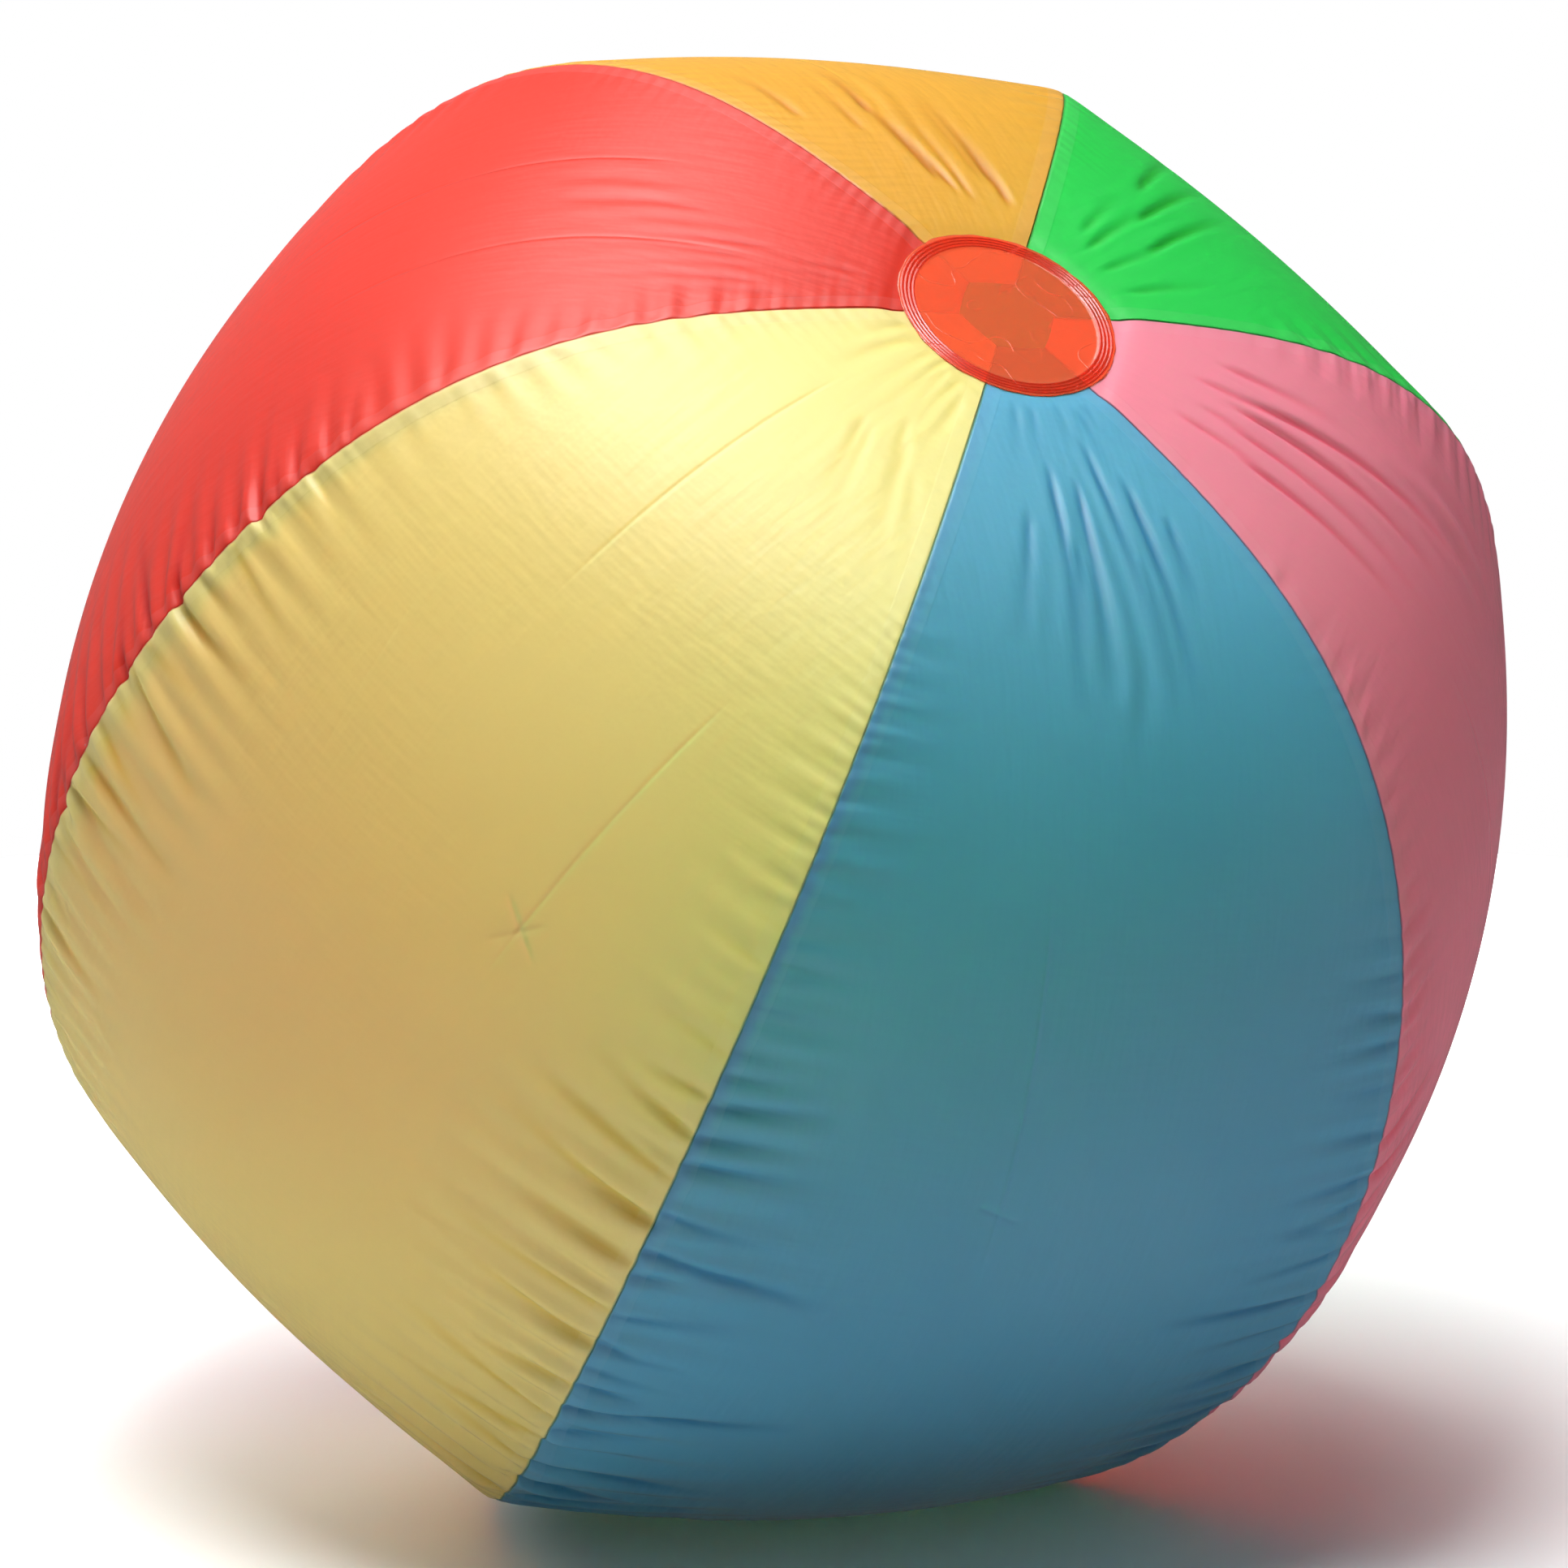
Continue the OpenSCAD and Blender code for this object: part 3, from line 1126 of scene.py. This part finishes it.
@dataclass
class Gore:
    """One gore: a closed skin of film with a welded edge inside each of its seams."""

    film: Film
    grid: Array
    normals: Array
    marks: dict[str, Array]
    port: Optional[Port] = None
    thickness: float = 0.0003
    weld_width: float = 0.007
    weld_lean: float = math.radians(35)
    groove: float = 0.00035
    groove_shoulder: float = 0.3
    shoulder: Range = (0.0006, 0.0015)
    seam_gap: float = 0.00004

    @property
    def name(self) -> str:
        """Returns the gore's CAD node."""
        return "gore_" + self.film.value

    def _shouldered(self, field_: Array, rest: Array) -> Array:
        """Returns a grid with extra columns close to both seams.

        Args:
            field_: Numbers or points on the film's grid.
            rest: Distance from the nearest seam on the same grid.

        Returns:
            The grid with two columns more at each side.
        """
        columns = [field_[:, 1:-1]]
        for here, beside in ((0, 1), (-1, -2)):
            away = rest[:, beside].reshape(-1, *[1] * (field_.ndim - 2)) + TINY
            shares = [0, *(np.clip(gap / away, 0, 0.8) for gap in self.shoulder)]
            edge = [field_[:, here] * (1 - t) + field_[:, beside] * t for t in shares]
            edge = [column[:, None] for column in edge]
            columns = edge + columns if here == 0 else columns + edge[::-1]
        return np.concatenate(columns, axis=1)

    def _welded_edge(self, skin: Array, inner: Array, out: Array, side: int) -> list[Array]:
        """Returns the two rows of points at the tip of a welded edge.

        Args:
            skin: The film's outer face.
            inner: Its inner face.
            out: Its normals.
            side: 0 for the first seam, -1 for the last.

        Returns:
            The tip on the seam's side and the tip on the gore's side.
        """
        beside = 3 if side == 0 else -4
        inward_film = unit(skin[:, beside] - skin[:, side])
        sideways = inward_film if side == 0 else -inward_film
        lean = math.cos(self.weld_lean) * -out[:, side] + math.sin(self.weld_lean) * sideways
        reach = unit(lean) * self.weld_width
        return [skin[:, side] + reach, inner[:, side] + reach]

    @staticmethod
    def _narrow(face: Array, skin: Array, by: float) -> None:
        """Draws a face's edges in from the seams along the skin, in place."""
        for side, step in SIDES:
            face[:, side] += unit(skin[:, side + step] - skin[:, side]) * by

    def _film(self) -> tuple[Array, Array, Array, Array]:
        """Returns the outer face, the inner face, the normals and what the port takes."""
        rest = self.marks["from_seam"]
        skin = self._shouldered(self.grid, rest)
        out = unit(self._shouldered(self.normals, rest))
        if self.port is not None:
            skin = self.port.level(skin)
        dips = np.zeros(skin.shape[1])
        for side, step in SIDES:
            dips[side] = self.groove
            dips[side + step] = self.groove * self.groove_shoulder
        skin = skin - out * dips[None, :, None]
        self._narrow(skin, skin, self.seam_gap)
        inner = skin - out * self.thickness
        self._narrow(inner, skin, self.thickness)
        inside = np.zeros(skin.shape[:2], bool)
        if self.port is not None:
            inside = self.port.inside(skin)
            skin = np.where(inside[..., None], self.port.snap(skin), skin)
            inner = np.where(inside[..., None], self.port.snap(inner), inner)
        return skin, inner, out, inside

    def build(self) -> bpy.types.Object:
        """Builds the gore's mesh, rides it on the ball and returns it."""
        skin, inner, out, inside = self._film()
        first, last = (self._welded_edge(skin, inner, out, s) for s in (0, -1))
        loop = [skin, last[0][:, None], last[1][:, None], inner[:, ::-1]]
        loop += [first[1][:, None], first[0][:, None]]
        points = np.concatenate(loop, axis=1)
        rows, size, wide = points.shape[0], points.shape[1], skin.shape[1]
        quads = ring_quads(rows - 1, size)
        keep = np.ones(quads.shape[:2], bool)
        shut = inside[:-1, :-1] & inside[1:, :-1] & inside[1:, 1:] & inside[:-1, 1:]
        keep[:, : wide - 1] &= ~shut
        start = wide + 2
        keep[:, start : start + wide - 1] &= ~shut[:, ::-1]
        faces = [quads[keep]]
        if shut.any():
            faces.append(self._rim(shut, size))
        faces.append(self._ends(rows, size, wide))
        edge = np.zeros((rows, 2))
        stored = {}
        for key, mark in self.marks.items():
            grid = self._shouldered(mark, self.marks["from_seam"])
            stored[key] = np.concatenate([grid, edge, grid[:, ::-1], edge], axis=1)
        solid = make_piece(self.name + "_film", points.reshape(-1, 3), faces, stored)
        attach(solid, "ball")
        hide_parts(self.name)
        return solid

    @staticmethod
    def _rim(shut: Array, size: int) -> Array:
        """Returns the quads that close the film's thickness round the port.

        Args:
            shut: Which quads of the outer face the port takes.
            size: Points round the gore's section, of which the inner face runs back from the
                outer face's end.
        """
        rim = []
        for i, j in zip(*np.nonzero(shut)):
            corners = ((i, j), (i, j + 1), (i + 1, j + 1), (i + 1, j))
            for side, a, b in ((0, i - 1, j), (2, i + 1, j), (3, i, j - 1), (1, i, j + 1)):
                if not shut[a, b]:
                    (p, q), (r, s) = corners[side], corners[(side + 1) % 4]
                    p, r = p * size, r * size
                    rim.append([p + q, p + size - 3 - q, r + size - 3 - s, r + s])
        return np.array(rim, dtype=np.int64)

    @staticmethod
    def _ends(rows: int, size: int, wide: int) -> Array:
        """Returns the quads that close the film's two cut ends."""
        quads = []
        for row in (0, rows - 1):
            base = row * size
            strip = [[j, j + 1, size - 3 - j - 1, size - 3 - j] for j in range(wide - 1)]
            strip.append([wide - 1, wide, wide + 1, wide + 2])
            strip.append([0, size - 3, size - 2, size - 1])
            for quad in strip:
                ordered = quad if row == 0 else quad[::-1]
                quads.append([base + v for v in ordered])
        return np.array(quads)


@dataclass
class FilmSkin:
    """The six gores together."""

    shape: BallShape
    place: BallFrame
    # Crease depth at which the painted shade in the creases is full.
    crease_shade_depth: float = 0.0010

    def build(self) -> None:
        """Relaxes the film, then builds and dresses each gore."""
        port = Port.measured()
        relaxed = Relaxation(self.shape, self.place)
        points = relaxed.run()
        rng = np.random.default_rng(5)
        dips = np.array([Creasing(film, relaxed, rng).dips() for film in FILMS])
        dips[VALVE_GORE] *= port.clear(points[VALVE_GORE])
        points -= relaxed.normals(points) * dips[..., None]
        Relaxation.join(points)
        points[..., 2] = np.maximum(points[..., 2], 0)
        normals = relaxed.normals(points)
        Relaxation.join(normals)
        normals = unit(normals)
        marks = {
            "along": np.repeat(relaxed.along[:, None], relaxed.columns + 1, axis=1),
            "across": relaxed.across,
            "from_seam": relaxed.from_seam,
        }
        for k, film in enumerate(FILMS):
            # The crease mark carries painted shade: it darkens the film's colour where the creases
            # dip.
            mine = dict(marks, crease=np.clip(dips[k] / self.crease_shade_depth, 0, 1))
            own_port = port if k == VALVE_GORE else None
            piece = Gore(film, points[k], normals[k], mine, own_port).build()
            before, after = FILMS[k - 1], FILMS[(k + 1) % GORES]
            finish = FilmFinish(
                film.value, TINTS[film], (TINTS[before], TINTS[after]), FOLDS[film]
            )
            dress(piece, finish.material())
            LOG.info("gore %s: %d faces", film.value, len(piece.data.polygons))


# --- Polar discs ---


@dataclass
class PolarDisc:
    """A disc welded over the gores' cut ends, with raised rings and an uneven trimmed edge."""

    node: str
    place: BallFrame
    shape: BallShape
    sign: int
    seed: int
    lift: float = 0.00012
    film: float = 0.0003
    segments: int = 192
    rings: int = 4
    ring_pitch: float = 0.0015
    ring_height: float = 0.00032
    ring_width: float = 0.0006
    margin: float = 0.0012
    edge_height: float = 0.00015
    raggedness: float = 0.0003
    waves: tuple[int, ...] = (3, 7, 16, 29)
    flat_radii: tuple[float, ...] = (2, 5, 8, 12, 16, 20, 24, 28, 32, 34.5)
    ring_section: tuple[tuple[float, float], ...] = (
        (-0.65, 0.0),
        (-0.3, 0.8),
        (0.0, 1.0),
        (0.3, 0.8),
        (0.65, 0.0),
    )

    def _profile(self) -> tuple[Array, Array]:
        """Returns the radius and height of each ring of points on the disc's upper face."""
        edge = self.shape.disc_width / 2
        radii = [MM * r for r in self.flat_radii]
        heights = [0.0] * len(radii)
        first = edge - self.margin - self.ring_width / 2 - (self.rings - 1) * self.ring_pitch
        for k in range(self.rings):
            crest = first + k * self.ring_pitch
            for off, high in self.ring_section:
                radii.append(crest + off * self.ring_width)
                heights.append(high * self.ring_height)
        radii += [edge - self.margin / 2, edge]
        heights += [0.0, self.edge_height]
        return np.array(radii), np.array(heights)

    def build(self) -> bpy.types.Object:
        """Builds and dresses the disc, and returns it."""
        radii, heights = self._profile()
        rng = np.random.default_rng(self.seed)
        count = self.segments
        turn = ring_turns(count)
        ragged = sum(
            rng.uniform(0.3, 1) * np.sin(turn * n + rng.uniform(0, 6.28)) for n in self.waves
        )
        r = np.repeat(radii[:, None], count, axis=1)
        r[-1] += ragged * self.raggedness
        z = np.repeat(heights[:, None], count, axis=1)
        top = np.stack([r * np.cos(turn), r * np.sin(turn), z + self.film], axis=-1)
        low = top.copy()
        low[..., 2] = 0.0
        stack = np.concatenate([top, low[::-1]], axis=0)
        middles = np.array([[0, 0, self.film], [0, 0, 0.0]])
        points = np.concatenate([stack.reshape(-1, 3), middles])
        points[:, 2] += self.shape.cap_height + self.lift
        points[:, 2] *= self.sign
        rows = len(stack)
        quads = ring_quads(rows - 1, count).reshape(-1, 4)
        ring = np.arange(count)
        following = (ring + 1) % count
        last = (rows - 1) * count
        upper = np.stack([ring, following, np.full(count, rows * count)], axis=-1)
        under = np.stack([last + following, last + ring, np.full(count, rows * count + 1)], -1)
        faces = [quads, upper, under]
        if self.sign < 0:
            faces = [f[:, ::-1] for f in faces]
        from_edge = self.shape.disc_width / 2 - np.linalg.norm(points[:, :2], axis=-1)
        piece = make_piece(
            self.node + "_film", self.place.lay(points), faces, {"from_edge": from_edge}
        )
        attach(piece, "ball")
        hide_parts(self.node)
        LOG.info("disc %s: %d faces", self.node, len(piece.data.polygons))
        return piece


# --- Valve ---


@dataclass
class Valve:
    """The valve: its packed mouldings with their finish, and the web that rolls."""

    body_tint: tuple[float, float, float] = (0.76, 0.80, 0.77)
    web_segments: int = 96
    web_rows: int = 14
    web_film: float = 0.0005

    def _web(self) -> bpy.types.Object:
        """Builds the web as a smooth rolled wall between the flange and the stem."""
        axis = ValveAxis.measured()
        high, flat = axis.split(node_points("valve_web"))
        away = np.linalg.norm(flat, axis=1)
        outer, inner = away.max(), away.min()
        low, top = high.min(), high.max() - self.web_film
        side = unit(np.cross(axis.outward, [0.0, 0.0, 1.0]))
        other = np.cross(axis.outward, side)
        t = np.linspace(0, 1, self.web_rows)
        r = outer + (inner - outer) * t
        z = low + (top - low) * fade(t, 0, 1)
        section = np.stack([np.r_[r, r[::-1]], np.r_[z + self.web_film, z[::-1]]], axis=-1)
        turn = ring_turns(self.web_segments)
        spoke = np.cos(turn)[:, None] * side + np.sin(turn)[:, None] * other
        points = axis.middle + section[:, None, :1] * spoke + section[:, None, 1:] * axis.outward
        quads = ring_quads(len(section), self.web_segments, wrap=True, turned=True)
        piece = make_piece("valve_web_film", points.reshape(-1, 3), [quads.reshape(-1, 4)])
        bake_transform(piece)
        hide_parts("valve_web")
        return piece

    def build(self) -> None:
        """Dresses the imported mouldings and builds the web."""
        web = self._web()
        dress(web, MouldedFinish("valve_film", self.body_tint, 0.6, 0.2).material())
        moulded = MouldedFinish("valve_vinyl", self.body_tint).material()
        for node in ("valve_flange", "valve_stem", "check_flap", "plug_strap", "valve_plug"):
            dress(frame["nodes"][node], moulded)
            LOG.info("valve piece %s", node)


# --- Studio ---


@dataclass
class Studio:
    """A pale floor and backdrop, soft light and the camera."""

    place: BallFrame
    radius: float
    distance_radii: float = 10.0
    focal_share: float = 4.698
    elevation: float = math.radians(11)
    floor_radius: float = 1.3
    surround_radius: float = 9.0
    surround_height: float = 6.0
    segments: int = 96
    floor_drop: float = 0.0004
    world_strength: float = 0.16
    nudge_share: float = 0.006
    sensor: float = 36.0

    def _ring(self, radius: float, high: float) -> Array:
        """Returns points round the middle of the floor."""
        turn = ring_turns(self.segments)
        level = np.full_like(turn, high - self.floor_drop)
        return np.stack([radius * np.cos(turn), radius * np.sin(turn), level], axis=-1)

    def floor(self) -> None:
        """Lays the round floor, which glows by its own emission toward its edge: painted light that
        brightens it to white where it meets the surround.
        """
        count = self.segments
        floor = make_piece("floor", self._ring(self.floor_radius, 0), [np.arange(count)[None]])
        floor.visible_glossy = False
        graph = Graph("floor")
        place = graph.place()
        speck = graph.noise(place, 6.0, 1.0)
        pale = speck.step(0.3, 0.7).blend((0.92, 0.92, 0.92, 1), (0.90, 0.90, 0.905, 1))
        away = graph.node("ShaderNodeVectorMath", {"operation": "LENGTH"}, {0: place}, "Value")
        # Painted light: the floor emits white light, rising from 0.6 m out to its edge.
        glow = away.step(0.6, 1.15).blend((0, 0, 0, 1), (1, 1, 1, 1))
        links = {"Base Color": pale, "Roughness": 0.6, "Emission Color": glow}
        dress(floor, graph.finish({**links, "Emission Strength": 1.0}))

    def surround(self) -> None:
        """Puts a plain white surround past the floor, which only the camera sees."""
        rings = [self._ring(self.floor_radius, 0), self._ring(self.surround_radius, 0)]
        rings.append(self._ring(self.surround_radius, self.surround_height))
        quads = ring_quads(2, self.segments, turned=True)
        piece = make_piece("surround", np.concatenate(rings), [quads.reshape(-1, 4)])
        for ray in ("diffuse", "glossy", "transmission", "shadow"):
            setattr(piece, "visible_" + ray, False)
        dress(piece, Graph("surround").finish({"Color": (1, 1, 1, 1)}, "Emission"))

    def _panel(
        self, name: str, place: Sequence[float], size: float, power: float, seen: bool = True
    ) -> None:
        """Adds a square soft light that faces the ball.

        Args:
            name: The light's name.
            place: Where it stands, in ball radii from the ball's middle.
            size: The length of its side, in metres.
            power: Its power, in watts.
            seen: Whether glossy surfaces reflect it.
        """
        light = bpy.data.lights.new(name, "AREA")
        light.shape = "SQUARE"
        light.size = size
        light.energy = power
        holder = linked(name, light)
        holder.visible_glossy = seen
        off = Vector(place) * self.radius
        stand(holder, Vector(self.place.middle) + off, -off)

    def lights(self) -> None:
        """Lights the set."""
        world = bpy.data.worlds.new("studio")
        world.use_nodes = True
        sky = world.node_tree.nodes["Background"]
        sky.inputs["Color"].default_value = (1.0, 1.0, 1.0, 1)
        sky.inputs["Strength"].default_value = self.world_strength
        bpy.context.scene.world = world
        self._panel("overhead", (-0.6, -0.3, 5.0), 1.35, 36.0)
        self._panel("key", (-0.5, -1.7, 4.8), 0.7, 24.0)
        self._panel("back", (-3.0, 4.2, 2.2), 1.6, 26.0, seen=False)
        bpy.context.scene.view_settings.view_transform = "Standard"

    def camera(self) -> None:
        """Sets the camera."""
        data = bpy.data.cameras.new("camera")
        data.sensor_width = self.sensor
        data.lens = data.sensor_width * self.focal_share
        data.clip_end = 5 * self.surround_radius
        holder = linked("camera", data)
        c, s = math.cos(self.elevation), math.sin(self.elevation)
        back, up = Vector((0, -c, s)), Vector((0, s, c))
        nudge = self.nudge_share * self.radius
        aim = Vector(self.place.middle) + up * nudge + Vector((nudge, 0, 0))
        stand(holder, aim + back * self.distance_radii * self.radius, -back)
        bpy.context.scene.camera = holder

    def build(self) -> None:
        """Builds the whole studio."""
        self.floor()
        self.surround()
        self.lights()
        self.camera()


def main() -> None:
    """Builds the ball's looks and the studio."""
    logging.basicConfig(level=logging.INFO, format="%(message)s")
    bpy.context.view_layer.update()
    shape, place = BallShape(), BallFrame.measured()
    FilmSkin(shape, place).build()
    glaze = DiscFinish().material()
    for node, sign, seed in (("top_disc", 1, 11), ("bottom_disc", -1, 12)):
        dress(PolarDisc(node, place, shape, sign, seed).build(), glaze)
    Valve().build()
    Studio(place, shape.radius).build()


if __name__ == "__main__":
    main()
